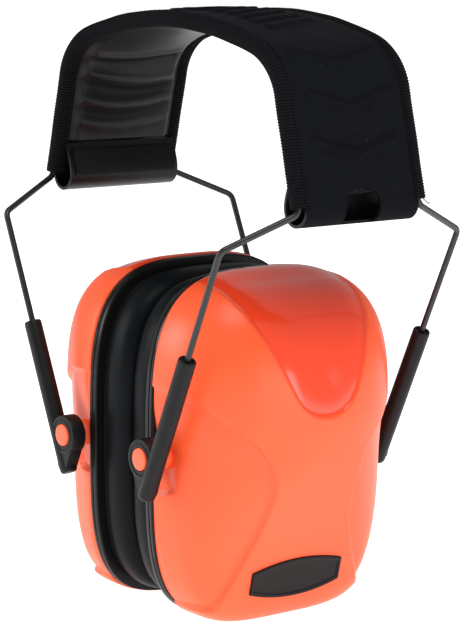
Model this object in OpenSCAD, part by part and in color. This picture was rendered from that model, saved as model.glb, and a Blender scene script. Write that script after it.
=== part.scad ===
// Hearing protection earmuffs: two cups on arms that slide on a cloth-covered spring-wire headband.
// Right-handed frame: X runs from the left cup to the right cup, Y from front to rear, Z up.
// The origin is on the ground, midway between the two cups.

/* [Cup shell] */
// Height of a cup, from the flat under its chin to its top
cup_height = 105.7; // [85:0.1:130]
// Depth of a cup from front to rear at its rim
cup_depth = 80; // [64:0.5:96]
// How far the upper half of a shell bulges out past its rim
bulge_top = 34.5; // [28:0.5:42]
// How far the chin of a shell stands out past its rim
bulge_chin = 19.5; // [16:0.5:24]
// Wall thickness of a shell
shell_wall = 2.4; // [1.6:0.1:3.2]
// Height of the widest line of a cup above the ground
cup_mid = 56; // [46:0.5:68]

/* [Ear cushion] */
// Gap between the two cushions when the headband is at rest
cushion_gap = 0.6; // [0.4:0.1:4]
// Thickness of a cushion
cushion_thick = 12.7; // [9:0.1:16]
// Distance from a cushion's outer edge to the edge of its plate
cushion_inset = 3.4; // [2:0.1:5]
// Width of the padded ring of a cushion
cushion_ring = 13.2; // [10:0.1:16]
// Thickness of a cushion's skin
cushion_skin = 1; // [0.6:0.1:1.4]
// Thickness of the plate that carries a cushion
plate_thick = 3.5; // [2.4:0.1:5]
// Thickness of the sound-absorbing foam in a cup
liner_thick = 13; // [9:0.5:13.5]

/* [Headband] */
// Width of the headband, binding included
band_width = 49.2; // [40:0.2:60]
// Height of the crown's centre line above the cup pivots
arch_rise = 126.7; // [112:0.1:152]
// Radius of the crown
crown_radius = 145; // [120:1:175]
// Half of the angle that the crown turns through
crown_half_angle = 17; // [14:0.5:20]
// Radius of the corner between the crown and a leg
corner_radius = 18.5; // [15:0.5:23]
// Lean of a leg from the vertical
leg_splay = 14; // [11:0.5:17]
// Length of the straight leg below the corner
leg_length = 32; // [26:0.5:38]
// Thickness of the cloth on the outside and of the lining
skin_thick = 0.9; // [0.6:0.1:1.3]
// Thickness of the edge binding
binding_thick = 0.5; // [0.3:0.1:0.8]
// Width that the binding covers on each face
binding_wrap = 5; // [3.5:0.1:6.5]
// Outside radius of the rolled end of the cloth
fold_radius = 5.2; // [4.2:0.1:6.2]
// Width of the rolled end
fold_width = 41.6; // [34:0.2:42]
// Width of the half-round notch in the rolled end
notch_width = 12.8; // [8:0.2:16]
// Height of the notch's top above the end of the leg
notch_height = 4.4; // [2:0.2:8]
// Height of the flap that comes up from the rolled end and meets the lining
flap_height = 10.2; // [8:0.2:12]
// Height of the hook tape strip on the flap
tape_height = 9; // [6:0.5:9.5]

/* [Spring wire] */
// Diameter of the spring wire
wire_d = 1.9; // [1.5:0.1:2.2]
// Radius of the small bends in the wire
wire_bend = 3; // [2.5:0.1:3.8]
// Distance along an arm's axis from the pivot to the wire's bend
bend_reach = 73.7; // [68:0.1:88]

/* [Arm and pivot] */
// Lean of an arm from the vertical
arm_tilt = 24.8; // [20:0.2:28]
// Length of an arm's tube
arm_length = 48.8; // [42:0.2:56]
// Outer diameter of an arm's tube
arm_d = 5.4; // [5:0.1:6.4]
// Diameter of the bore that the wire slides in
arm_bore = 3.6; // [3.2:0.1:4]
// Length of the tube below the pivot
arm_drop = 11; // [8:0.2:13]
// Distance from the pivot to the tube's axis
arm_offset = 4.9; // [4.4:0.1:6]
// How far an arm can slide up on its wire
slide_travel = 22; // [16:1:24]
// Diameter of the eye around the pivot pin
eye_d = 12; // [10.5:0.1:14]
// Diameter of a pivot pin
pin_d = 6.7; // [5.5:0.1:7.5]
// Distance of the pivot from the rim of the shell
pivot_inset = 4.1; // [3.6:0.1:6]
// Gap between an arm and the side of the cup
arm_gap = 1.7; // [1.2:0.1:3]

/* [Badge] */
// Width of the plain badge
badge_width = 34; // [28:0.5:38]
// Height of the badge at its middle
badge_height = 12; // [9:0.5:14]
// Height of the badge at its ends
badge_end = 8; // [6:0.5:9]
// Height of the badge's centre above the ground
badge_z = 14.4; // [12:0.2:18]

/* [Hidden] */

LEFT = -1;
RIGHT = 1;
FRONT = -1;
REAR = 1;

// Clearances
run_fit = 0.08;         // a shaft turning or sliding in a hole
foam_fit = 0.2;         // foam in its pocket
lip_fit = 0.3;          // a plate's lip in a shell

// Cup outline: exponents of the rounded-square curve above and below the widest line,
// and exponents of the wall's curve from the rim to the outermost point
top_squareness = 3.3;
bottom_squareness = 4;
side_fullness = 2.3;
top_fullness = 2.7;
chin_fullness = 6;
foot_cut = 0.4;         // slice taken off the chin to leave a flat foot
chin_level = 0.08;      // share of the height up to which the shell keeps the chin's bulge
brow_level = 0.62;      // share of the height from which it has the whole upper bulge
shell_segments = 48;
shell_rings = 10;
rim_x = cushion_gap / 2 + cushion_thick + plate_thick;
plate_x = cushion_gap / 2 + cushion_thick;
plate_inset = 0.4;
lip_length = 3;
lip_thick = 1.6;
opening_inset = cushion_inset + cushion_ring - 1.6;
liner_inset = 8;
liner_recess = 5.5;

// Pivot and arm
pivot_x = rim_x + pivot_inset;
pivot_z = cup_height / 2;
arm_y = cup_depth / 2 + arm_gap + arm_d / 2;
eye_thick = arm_d - 0.6;
web_thick = eye_thick - 0.6;
web_end_d = arm_d - 0.8;
tube_round = 0.7;
pin_end = 0.5;          // how far a pin stands out of its eye
pin_tail = 4.5;         // how far a pin reaches in past the cup's side
collar_d = pin_d + 2.6;
collar_start = cup_depth / 2 - 0.8;
bush_length = 2.2;
bush_recess = 0.5;
stop_length = 4;
stop_d = arm_bore - 2 * run_fit;
bore_rise = pin_d / 2 + 2.2;      // from the pivot up to the floor of the bore
wire_tip = bore_rise + slide_travel + 0.5;

// Headband layers, counted outwards from the wires' plane
gap_half = wire_d / 2 + 0.15;
skin_out = gap_half + skin_thick;
binding_out = skin_out + binding_thick;
cloth_half = band_width / 2 - binding_thick;
wire_y = cloth_half - wire_d / 2 - 1.05;
foam_y = wire_y - wire_d / 2 - 0.45;
wrap_y = band_width / 2 - binding_wrap;
arch_z = pivot_z + arch_rise;
corner_cx = (crown_radius - corner_radius) * sin(crown_half_angle);
corner_cz = arch_z - crown_radius + (crown_radius - corner_radius) * cos(crown_half_angle);
corner_end = 90 - leg_splay;
leg_x = corner_cx + corner_radius * sin(corner_end) + leg_length * sin(leg_splay);
leg_z = corner_cz + corner_radius * cos(corner_end) - leg_length * cos(leg_splay);
lining_stop = 3;        // where the lining ends above the bottom of a leg
tape_thick = 0.8;
tape_rise = 0.9;        // from the roll's back up to the hook tape, along the flap
wire_exit = 1.5;        // length of wire below the binding before it turns out to the arm
wire_sides = 12;
bend_step = 5;          // angle between the rings of a bend
crown_steps = 10;
corner_steps = 10;
fold_steps = 12;

// Points of the wire, in a plane of its own between the arm and the band
tilt_u = [sin(arm_tilt), 0, cos(arm_tilt)];
arm_foot = [pivot_x, 0, pivot_z] + arm_offset * [cos(arm_tilt), 0, -sin(arm_tilt)];
bend_p = arm_foot + bend_reach * tilt_u + [0, arm_y, 0];
tip_p = arm_foot + wire_tip * tilt_u + [0, arm_y, 0];
exit_p = [leg_x + wire_exit * sin(leg_splay), wire_y, leg_z - wire_exit * cos(leg_splay)];
corner_reach = corner_radius / cos((corner_end - crown_half_angle) / 2);
corner_mid = (corner_end + crown_half_angle) / 2;
corner_p = [corner_cx + corner_reach * sin(corner_mid), wire_y, corner_cz + corner_reach * cos(corner_mid)];
crown_p = [0, wire_y, arch_z - crown_radius + crown_radius / cos(crown_half_angle)];

// Badge
badge_thick = 1.8;
badge_sink = 1.1;
badge_lean = 20.6;
badge_steps = 12;

// ---------- helpers ----------

function flip_x(p) = [-p[0], p[1], p[2]];
function unit(v) = v / norm(v);
function smooth(t) = t <= 0 ? 0 : t >= 1 ? 1 : t * t * (3 - 2 * t);
function signed_pow(v, e) = sign(v) * pow(abs(v), e);

// Mirrors a right-hand piece for the left side
module on_side(side) {
    if (side == LEFT) mirror([1, 0, 0]) children();
    else children();
}

// Extrudes an outline drawn in X and Z along Y
module slab(points, y0, y1) {
    translate([0, y1, 0]) rotate([90, 0, 0]) linear_extrude(y1 - y0) polygon(points);
}

// Extrudes an outline drawn in Y and Z along X
module disc_x(points, x0, x1) {
    translate([x0, 0, 0]) rotate([90, 0, 90]) linear_extrude(x1 - x0) polygon(points);
}

// Places children at the bottom of the right leg: Z runs up the leg and X points outwards
module leg_frame() {
    translate([leg_x, 0, leg_z]) rotate([0, -leg_splay, 0]) children();
}

// Places children on the pivot of a right-hand arm: Z runs up the arm's tube
module arm_frame(end) {
    translate([pivot_x, end * arm_y, pivot_z]) rotate([0, arm_tilt, 0]) children();
}

// ---------- spring wire ----------

function turn(a, p, b) = acos(unit(p - a) * unit(b - p));
function setback(a, p, b, r) = r * tan(turn(a, p, b) / 2);

// Places and directions round the bend at point p, between the lines from a and to b
function bend_stations(a, p, b, r, first) = let(
    d = unit(p - a), e = unit(b - p), n = unit(e - (d * e) * d), w = turn(a, p, b),
    steps = max(4, round(w / bend_step)), middle = p - setback(a, p, b, r) * d + r * n
) [
    for (i = [first:steps]) let(v = w * i / steps)
        [middle - r * cos(v) * n + r * sin(v) * d, cos(v) * d + sin(v) * n]
];

// Straight length left between bend i - 1 and bend i of a path
function straight_before(p, r, i) = norm(p[i] - p[i - 1]) - setback(p[i - 1], p[i], p[i + 1], r[i])
    - (i > 1 ? setback(p[i - 2], p[i - 1], p[i], r[i - 1]) : 0);

// Stations along a path through points p, with a bend radius at each inner point
function wire_stations(p, r) = let(last = len(p) - 1) concat(
    [[p[0], unit(p[1] - p[0])]],
    [for (i = [1:last - 1])
        each bend_stations(p[i - 1], p[i], p[i + 1], r[i], straight_before(p, r, i) < 0.02 ? 1 : 0)],
    [[p[last], unit(p[last] - p[last - 1])]]
);

// Ring of points round a station
function wire_ring(station, d) = let(
    e1 = unit(cross([0, 1, 0], station[1])), e2 = cross(station[1], e1)
) [for (j = [0:wire_sides - 1]) let(w = 360 * j / wire_sides)
    station[0] + d / 2 * (cos(w) * e1 + sin(w) * e2)];

// Wire through a row of points
module bent_wire(p, r, d) {
    stations = wire_stations(p, r);
    rings = len(stations);
    n = wire_sides;
    polyhedron(
        points = [for (s = stations) each wire_ring(s, d)],
        faces = concat(
            [[for (j = [0:n - 1]) j]],
            [for (i = [0:rings - 2], j = [0:n - 1]) let(a = i * n + j, b = i * n + (j + 1) % n)
                each [[a, a + n, b], [b, a + n, b + n]]],
            [[for (j = [n - 1:-1:0]) (rings - 1) * n + j]]
        ),
        convexity = 8
    );
}

module spring_wire(end) {
    half = [tip_p, bend_p, exit_p, corner_p];
    path = concat(half, [crown_p], [for (i = [3:-1:0]) flip_x(half[i])]);
    radii = [0, wire_bend, wire_bend, corner_radius, crown_radius, corner_radius, wire_bend, wire_bend, 0];
    color([0.07, 0.07, 0.08])
        if (end == REAR) bent_wire(path, radii, wire_d);
        else mirror([0, 1, 0]) bent_wire(path, radii, wire_d);
}

// Stop crimped on the end of the wire, which keeps it in the arm
module wire_stop(side, end) {
    color([0.35, 0.35, 0.37]) on_side(side) arm_frame(end)
        translate([arm_offset, 0, wire_tip]) difference() {
            cylinder(h = stop_length, d = stop_d, $fn = 48);
            translate([0, 0, -1]) cylinder(h = stop_length + 2, d = wire_d + 2 * run_fit, $fn = 48);
        }
}

// ---------- headband cloth ----------

// Outline of one layer of the arch, between two offsets, ending a given way up the legs
function arch_half(t, stop) = concat(
    [for (i = [1:crown_steps]) let(a = crown_half_angle * i / crown_steps)
        [(crown_radius + t) * sin(a), arch_z - crown_radius + (crown_radius + t) * cos(a)]],
    [for (i = [1:corner_steps])
        let(a = crown_half_angle + (corner_end - crown_half_angle) * i / corner_steps)
        [corner_cx + (corner_radius + t) * sin(a), corner_cz + (corner_radius + t) * cos(a)]],
    [[leg_x + t * cos(leg_splay) - stop * sin(leg_splay), leg_z + t * sin(leg_splay) + stop * cos(leg_splay)]]
);
function arch_line(t, stop) = let(h = arch_half(t, stop), n = len(h)) concat(
    [for (i = [n - 1:-1:0]) [-h[i][0], h[i][1]]], [[0, arch_z + t]], h
);
function arch_layer(t0, t1, stop) = let(inner = arch_line(t0, stop)) concat(
    arch_line(t1, stop), [for (i = [len(inner) - 1:-1:0]) inner[i]]
);

module foam_pad() {
    color([0.25, 0.25, 0.27])
        slab(arch_layer(-gap_half, gap_half, lining_stop), -foam_y, foam_y);
}

module cover_lining() {
    color([0.2, 0.2, 0.2])
        slab(arch_layer(-skin_out, -gap_half, lining_stop), -cloth_half, cloth_half);
}

// Foot and top of the flap's face, in the leg's own X and Z
flap_foot = [skin_out - 2 * fold_radius, 0];
flap_top = [-skin_out - skin_thick, flap_height];

// Rolled end: the cloth goes under and up again to the lining, drawn in the leg's own X and Z
function fold_outline() = let(cx = skin_out - fold_radius, inner = fold_radius - skin_thick) concat(
    [[skin_out, 0.01]],
    [for (i = [0:fold_steps]) let(a = 180 * i / fold_steps) [cx + fold_radius * cos(a), -fold_radius * sin(a)]],
    [flap_top, flap_top + [skin_thick - 0.1, 0]],
    [for (i = [fold_steps:-1:0]) let(a = 180 * i / fold_steps) [cx + inner * cos(a), -inner * sin(a)]],
    [[gap_half, 0.01]]
);

module rolled_end() {
    leg_frame() difference() {
        slab(fold_outline(), -fold_width / 2, fold_width / 2);
        notch_cut();
    }
}

// Half-round notch through the outer cloth and the bottom of the roll
module notch_cut() {
    top = notch_height - notch_width / 2;
    rotate([0, 90, 0]) translate([-top, 0, skin_out - fold_radius])
        cylinder(h = fold_radius + 2, d = notch_width, $fn = 64);
    translate([skin_out - fold_radius, -notch_width / 2, -fold_radius - 2])
        cube([fold_radius + 2, notch_width, fold_radius + 2 + top]);
}

module cover_outer() {
    color([0.08, 0.09, 0.1]) union() {
        difference() {
            slab(arch_layer(gap_half, skin_out, 0), -cloth_half, cloth_half);
            for (side = [LEFT, RIGHT]) on_side(side) leg_frame() notch_cut();
        }
        for (side = [LEFT, RIGHT]) on_side(side) rolled_end();
    }
}

// Edge binding: a strip on each face and a web round the cut edge
module binding(end) {
    y0 = end == FRONT ? -band_width / 2 : wrap_y;
    web = end == FRONT ? -band_width / 2 : cloth_half;
    color([0.05, 0.055, 0.065]) union() {
        slab(arch_layer(skin_out, binding_out, 0), y0, y0 + binding_wrap);
        slab(arch_layer(-binding_out, -skin_out, 0), y0, y0 + binding_wrap);
        slab(arch_layer(-binding_out, binding_out, 0), web, web + binding_thick);
    }
}

module hook_tape(side) {
    half = wrap_y - 0.3;
    u = unit(flap_top - flap_foot);
    out = [-u[1], u[0]];
    foot = flap_foot + tape_rise * u + 0.02 * out;
    color([0.04, 0.04, 0.05]) on_side(side) leg_frame()
        slab([foot, foot + tape_height * u, foot + tape_height * u + tape_thick * out, foot + tape_thick * out],
            -half, half);
}

// ---------- arms ----------

// Outline of a turned tube with a blind bore and softened ends
function tube_outline(floor) = let(r = arm_d / 2, b = arm_bore / 2) [
    [0, 0], [r - tube_round, 0], [r, tube_round], [r, arm_length - tube_round / 2],
    [r - tube_round / 2, arm_length], [b, arm_length], [b, floor], [0, floor]
];

module arm(side, end) {
    bore_floor = arm_drop + bore_rise;
    foot = -arm_drop + web_end_d / 2 + 0.6;
    color([0.1, 0.1, 0.1]) on_side(side) arm_frame(end) difference() {
        union() {
            translate([arm_offset, 0, -arm_drop])
                rotate_extrude($fn = 64) polygon(tube_outline(bore_floor));
            rotate([90, 0, 0]) cylinder(h = eye_thick, d = eye_d, center = true, $fn = 64);
            hull() {
                rotate([90, 0, 0]) cylinder(h = web_thick, d = eye_d - 0.8, center = true, $fn = 32);
                translate([arm_offset - 0.3, 0, foot]) rotate([90, 0, 0])
                    cylinder(h = web_thick, d = web_end_d, center = true, $fn = 32);
            }
        }
        rotate([90, 0, 0])
            cylinder(h = arm_d + 4, d = pin_d + 2 * run_fit, center = true, $fn = 64);
        translate([arm_offset, 0, bore_floor - arm_drop]) cylinder(h = arm_length, d = arm_bore, $fn = 48);
    }
}

// Bush in the mouth of the tube, which the wire slides through
module bush(side, end) {
    color([0.06, 0.06, 0.06]) on_side(side) arm_frame(end)
        translate([arm_offset, 0, arm_length - arm_drop - bush_recess - bush_length]) difference() {
            cylinder(h = bush_length, d = arm_bore, $fn = 48);
            translate([0, 0, -1]) cylinder(h = bush_length + 2, d = wire_d + 2 * run_fit, $fn = 48);
        }
}

// ---------- cups ----------

// Share of the way from the widest line to the top or bottom, for a direction round the cup
function rim_share(a) = pow(abs(sin(a)), 2 / (sin(a) > 0 ? top_squareness : bottom_squareness));

// Point on the cup's outline, moved in by an inset
function rim_point(a, inset) = let(
    n = sin(a) > 0 ? top_squareness : bottom_squareness,
    reach = sin(a) > 0 ? cup_height - cup_mid : cup_mid + foot_cut
) [
    (cup_depth / 2 - inset) * signed_pow(cos(a), 2 / n),
    cup_mid + (reach - inset) * signed_pow(sin(a), 2 / n)
];
function rim_outline(inset) = [
    for (i = [0:shell_segments - 1]) rim_point(360 * (i + 0.5) / shell_segments, inset)
];

// How far the shell stands out past its rim at a given height
function bulge_at(z) = bulge_chin + (bulge_top - bulge_chin)
    * smooth((z / cup_height - chin_level) / (brow_level - chin_level));

// Point of the shell's surface in direction a, a given share of the way in from the rim
function shell_point(a, share, inset) = let(
    rho = share == 0 ? 1 : cos(90 * share),
    rim = rim_point(a, inset),
    upright = pow(rim_share(a), 2),
    m = side_fullness * (1 - upright) + (sin(a) > 0 ? top_fullness : chin_fullness) * upright,
    z = cup_mid + rho * (rim[1] - cup_mid)
) [
    rim_x + (bulge_at(z) - inset) * pow(1 - pow(rho, m), 1 / m),
    rho * rim[0],
    z
];

function skin_points(inset) = concat(
    [for (i = [0:shell_rings - 1], j = [0:shell_segments - 1])
        shell_point(360 * (j + 0.5) / shell_segments, i / shell_rings, inset)],
    [[rim_x + bulge_at(cup_mid) - inset, 0, cup_mid]]
);

// Triangles between the rings of one skin, wound outwards or inwards
function skin_faces(first, outwards) = let(n = shell_segments, tip = first + shell_rings * n) [
    for (i = [0:shell_rings - 1], j = [0:n - 1])
        let(a = first + i * n + j, b = first + i * n + (j + 1) % n, c = a + n, d = b + n)
        each i == shell_rings - 1
            ? [outwards ? [a, tip, b] : [a, b, tip]]
            : outwards ? [[a, c, b], [b, c, d]] : [[a, b, c], [b, d, c]]
];
function lip_faces(inner) = let(n = shell_segments) [
    for (j = [0:n - 1]) let(k = (j + 1) % n)
        each [[j, k, inner + j], [k, inner + k, inner + j]]
];

module shell_body() {
    inner = shell_rings * shell_segments + 1;
    polyhedron(
        points = concat(skin_points(0), skin_points(shell_wall)),
        faces = concat(skin_faces(0, true), skin_faces(inner, false), lip_faces(inner)),
        convexity = 6
    );
}

module cup_shell(side) {
    foot = cup_depth + 2 * bulge_top;
    color([1, 0.38, 0.22]) on_side(side) difference() {
        shell_body();
        translate([0, -foot / 2, -foot]) cube([foot, foot, foot]);
        for (end = [FRONT, REAR]) translate([pivot_x, end * cup_depth / 2, pivot_z])
            rotate([90, 0, 0]) cylinder(h = 2 * pin_tail, d = pin_d, center = true, $fn = 64);
        badge_frame() translate([0, 0, -badge_sink]) linear_extrude(badge_sink + 6) badge_shape();
    }
}

// The two pivot pins, each with a collar that keeps the arm off the shell
module pivot_pins(side) {
    tail = cup_depth / 2 - pin_tail;
    head = arm_y + eye_thick / 2 + pin_end;
    collar_end = arm_y - arm_d / 2 - 0.2;
    color([1, 0.36, 0.18]) on_side(side) for (end = [FRONT, REAR])
        translate([pivot_x, 0, pivot_z]) rotate([-90 * end, 0, 0]) rotate_extrude($fn = 64) polygon([
            [0, tail], [pin_d / 2, tail], [pin_d / 2, collar_start], [collar_d / 2, collar_start],
            [collar_d / 2, collar_end], [pin_d / 2, collar_end],
            [pin_d / 2, head - 0.5], [pin_d / 2 - 0.5, head], [0, head]
        ]);
}

// Snap-in plate that closes the shell and carries the cushion; its edge and lip clear the pins
module cushion_plate(side) {
    lip_out = shell_wall + lip_fit;
    color([0.1, 0.1, 0.1]) on_side(side) difference() {
        union() {
            disc_x(rim_outline(plate_inset), plate_x, rim_x);
            disc_x(rim_outline(lip_out), rim_x - 0.5, rim_x + lip_length);
        }
        disc_x(rim_outline(lip_out + lip_thick), rim_x, rim_x + lip_length + 1);
        disc_x(rim_outline(opening_inset), plate_x - 1, rim_x + 1);
        translate([pivot_x, 0, pivot_z]) rotate([90, 0, 0])
            cylinder(h = cup_depth, d = pin_d + 2 * lip_fit, center = true, $fn = 64);
        for (end = [FRONT, REAR])
            translate([pivot_x, end * (collar_start - lip_fit), pivot_z]) rotate([-90 * end, 0, 0])
                cylinder(h = arm_y, d = collar_d + 2 * lip_fit, $fn = 64);
    }
}

module cushion_skin(side) {
    outer = cushion_inset;
    inner = cushion_inset + cushion_ring;
    color([0.07, 0.08, 0.09]) on_side(side) difference() {
        disc_x(rim_outline(outer), cushion_gap / 2, plate_x);
        disc_x(rim_outline(inner), cushion_gap / 2 - 1, plate_x + 1);
        difference() {
            disc_x(rim_outline(outer + cushion_skin), cushion_gap / 2 + cushion_skin, plate_x + 1);
            disc_x(rim_outline(inner - cushion_skin), 0, plate_x + 2);
        }
    }
}

module cushion_foam(side) {
    color([0.3, 0.3, 0.32]) on_side(side) difference() {
        disc_x(rim_outline(cushion_inset + cushion_skin + foam_fit),
            cushion_gap / 2 + cushion_skin + foam_fit, plate_x);
        disc_x(rim_outline(cushion_inset + cushion_ring - cushion_skin - foam_fit), 0, plate_x + 1);
    }
}

// Dished foam behind the plate, whose edge the plate holds
module liner_foam(side) {
    color([0.2, 0.2, 0.22]) on_side(side) difference() {
        disc_x(rim_outline(liner_inset), rim_x, rim_x + liner_thick);
        disc_x(rim_outline(opening_inset + 1), rim_x - 1, rim_x + liner_recess);
    }
}

// ---------- badge ----------

// Places children on the shell's chin, with Z pointing out of the face
module badge_frame() {
    translate([rim_x + bulge_at(badge_z) * 0.97, 0, badge_z])
        rotate([0, 90 + badge_lean, 0]) rotate([0, 0, 90]) children();
}

// Barrel outline: straight ends and bowed long sides
module badge_shape() {
    rise = (badge_height - badge_end) / 2;
    polygon(concat(
        [for (i = [0:badge_steps]) let(t = 2 * i / badge_steps - 1)
            [t * badge_width / 2, badge_end / 2 + rise * (1 - t * t)]],
        [for (i = [badge_steps:-1:0]) let(t = 2 * i / badge_steps - 1)
            [t * badge_width / 2, -badge_end / 2 - rise * (1 - t * t)]]
    ));
}

module badge(side) {
    color([0.2, 0.19, 0.19]) on_side(side) badge_frame()
        translate([0, 0, -badge_sink]) linear_extrude(badge_thick) badge_shape();
}

// ---------- assembly ----------

spring_wire(FRONT);  // wire_front
spring_wire(REAR);  // wire_rear
foam_pad();
cover_outer();
cover_lining();
binding(FRONT);  // binding_front
binding(REAR);  // binding_rear
hook_tape(LEFT);  // hook_tape_left
hook_tape(RIGHT);  // hook_tape_right
wire_stop(LEFT, FRONT);  // wire_stop_left_front
wire_stop(LEFT, REAR);  // wire_stop_left_rear
wire_stop(RIGHT, FRONT);  // wire_stop_right_front
wire_stop(RIGHT, REAR);  // wire_stop_right_rear
arm(LEFT, FRONT);  // arm_left_front
arm(LEFT, REAR);  // arm_left_rear
arm(RIGHT, FRONT);  // arm_right_front
arm(RIGHT, REAR);  // arm_right_rear
bush(LEFT, FRONT);  // bush_left_front
bush(LEFT, REAR);  // bush_left_rear
bush(RIGHT, FRONT);  // bush_right_front
bush(RIGHT, REAR);  // bush_right_rear
cup_shell(LEFT);  // shell_left
cup_shell(RIGHT);  // shell_right
pivot_pins(LEFT);  // pivot_pins_left
pivot_pins(RIGHT);  // pivot_pins_right
cushion_plate(LEFT);  // cushion_plate_left
cushion_plate(RIGHT);  // cushion_plate_right
cushion_skin(LEFT);  // cushion_skin_left
cushion_skin(RIGHT);  // cushion_skin_right
cushion_foam(LEFT);  // cushion_foam_left
cushion_foam(RIGHT);  // cushion_foam_right
liner_foam(LEFT);  // liner_foam_left
liner_foam(RIGHT);  // liner_foam_right
badge(LEFT);  // badge_left
badge(RIGHT);  // badge_right
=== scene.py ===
import math

import bpy
import numpy as np
from mathutils import Matrix, Vector


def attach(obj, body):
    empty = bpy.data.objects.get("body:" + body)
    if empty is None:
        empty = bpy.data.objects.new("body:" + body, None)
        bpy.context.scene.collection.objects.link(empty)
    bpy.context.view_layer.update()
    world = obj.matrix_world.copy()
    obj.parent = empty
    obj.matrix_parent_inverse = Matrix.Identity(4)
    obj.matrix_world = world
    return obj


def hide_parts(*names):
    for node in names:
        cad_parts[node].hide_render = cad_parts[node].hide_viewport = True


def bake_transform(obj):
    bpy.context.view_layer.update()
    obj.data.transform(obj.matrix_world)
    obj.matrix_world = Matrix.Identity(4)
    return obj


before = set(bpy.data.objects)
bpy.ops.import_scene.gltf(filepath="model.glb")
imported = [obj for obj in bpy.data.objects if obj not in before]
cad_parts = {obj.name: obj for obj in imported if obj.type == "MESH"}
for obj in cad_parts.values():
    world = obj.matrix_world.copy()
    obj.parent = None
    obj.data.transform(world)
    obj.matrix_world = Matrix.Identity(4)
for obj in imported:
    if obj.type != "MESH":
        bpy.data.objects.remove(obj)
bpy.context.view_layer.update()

MM = 0.001
SIDES = {"left": -1, "right": 1}
ENDS = {"front": -1, "rear": 1}


def smooth(t):
    """Eased step from 0 to 1."""
    t = np.clip(t, 0, 1)
    return t * t * (3 - 2 * t)


# ---------- camera ----------

def make_camera(azimuth, elevation, roll, distance, height, lens, shift):
    """Camera that looks at a point on the object's axis, angles in degrees."""
    az, el, turn = (math.radians(v) for v in (azimuth, elevation, roll))
    back = Vector((math.sin(az) * math.cos(el), -math.cos(az) * math.cos(el), math.sin(el)))
    level = Vector((math.cos(az), math.sin(az), 0))
    rise = back.cross(level)
    right = math.cos(turn) * level + math.sin(turn) * rise
    up = math.cos(turn) * rise - math.sin(turn) * level
    camera = bpy.data.objects.new("camera", bpy.data.cameras.new("camera"))
    bpy.context.scene.collection.objects.link(camera)
    turned = Matrix((right, up, back)).transposed().to_4x4()
    camera.matrix_world = Matrix.Translation(Vector((0, 0, height)) + back * distance) @ turned
    camera.data.lens = lens
    camera.data.sensor_width = 36
    camera.data.shift_x = shift
    camera.data.clip_start, camera.data.clip_end = 0.05, 20
    bpy.context.scene.camera = camera


make_camera(52.918, 9.261, 0.377, 0.729164, 0.0892, 136.25, 0.0107)


# ---------- shaders ----------

class Value:
    """One socket of a shader, used in ordinary sums."""

    def __init__(self, finish, socket):
        self.finish, self.socket = finish, socket

    def math(self, operation, *others, swapped=False):
        terms = [self, *others]
        if swapped:
            terms.reverse()
        return self.finish.node("ShaderNodeMath", {"operation": operation}, dict(enumerate(terms)))

    def __add__(self, other):
        return self.math("ADD", other)

    def __mul__(self, other):
        return self.math("MULTIPLY", other)

    def __sub__(self, other):
        return self.math("SUBTRACT", other)

    def __rsub__(self, other):
        return self.math("SUBTRACT", other, swapped=True)

    __radd__ = __add__
    __rmul__ = __mul__

    def step(self, low, high):
        """Eased from 0 at low to 1 at high."""
        return self.finish.node(
            "ShaderNodeMapRange", {"interpolation_type": "SMOOTHSTEP"},
            {"Value": self, "From Min": low, "From Max": high})

    def part(self, axis):
        """One part of a vector."""
        return self.finish.node("ShaderNodeSeparateXYZ", {}, {"Vector": self}, axis)


class Finish:
    """A procedural material made round one Principled shader."""

    def __init__(self, name, **constants):
        self.material = bpy.data.materials.new(name)
        self.material.use_nodes = True
        self.tree = self.material.node_tree
        self.shader = self.tree.nodes["Principled BSDF"]
        for key, value in constants.items():
            socket = self.shader.inputs[key.replace("_", " ")]
            socket.default_value = (*value, 1) if isinstance(value, tuple) else value
        if "Base_Color" in constants:
            self.material.diffuse_color = (*constants["Base_Color"], 1)

    def node(self, kind, settings, inputs, output=0):
        """Adds a node and gives one of its outputs."""
        made = self.tree.nodes.new(kind)
        for key, value in settings.items():
            setattr(made, key, value)
        for key, value in inputs.items():
            socket = made.inputs[key]
            if isinstance(value, Value):
                self.tree.links.new(value.socket, socket)
            else:
                socket.default_value = value
        return Value(self, made.outputs[output])

    def feed(self, name, value):
        """Links a value to one of the shader's own sockets."""
        self.tree.links.new(value.socket, self.shader.inputs[name])

    def place(self):
        """Position in the object's own space, in metres."""
        return self.node("ShaderNodeTexCoord", {}, {}, "Object")

    def mark(self, name, output="Fac"):
        """A value stored on the mesh."""
        return self.node("ShaderNodeAttribute", {"attribute_name": name}, {}, output)

    def noise(self, scale, detail=2.0, rough=0.5):
        return self.node(
            "ShaderNodeTexNoise", {},
            {"Vector": self.place(), "Scale": scale, "Detail": detail, "Roughness": rough})

    def cells(self, scale):
        """Distance to the nearest of many scattered points."""
        return self.node("ShaderNodeTexVoronoi", {}, {"Vector": self.place(), "Scale": scale})

    def blend(self, share, one, other):
        """Mixes two colours."""
        one, other = ((*c, 1) if isinstance(c, tuple) else c for c in (one, other))
        return self.node("ShaderNodeMix", {"data_type": "RGBA"}, {0: share, 6: one, 7: other}, 2)

    def bump(self, height, depth, strength=1.0):
        """Relief of the given depth in metres."""
        self.feed("Normal", self.node(
            "ShaderNodeBump", {}, {"Height": height, "Distance": depth, "Strength": strength}))


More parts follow.
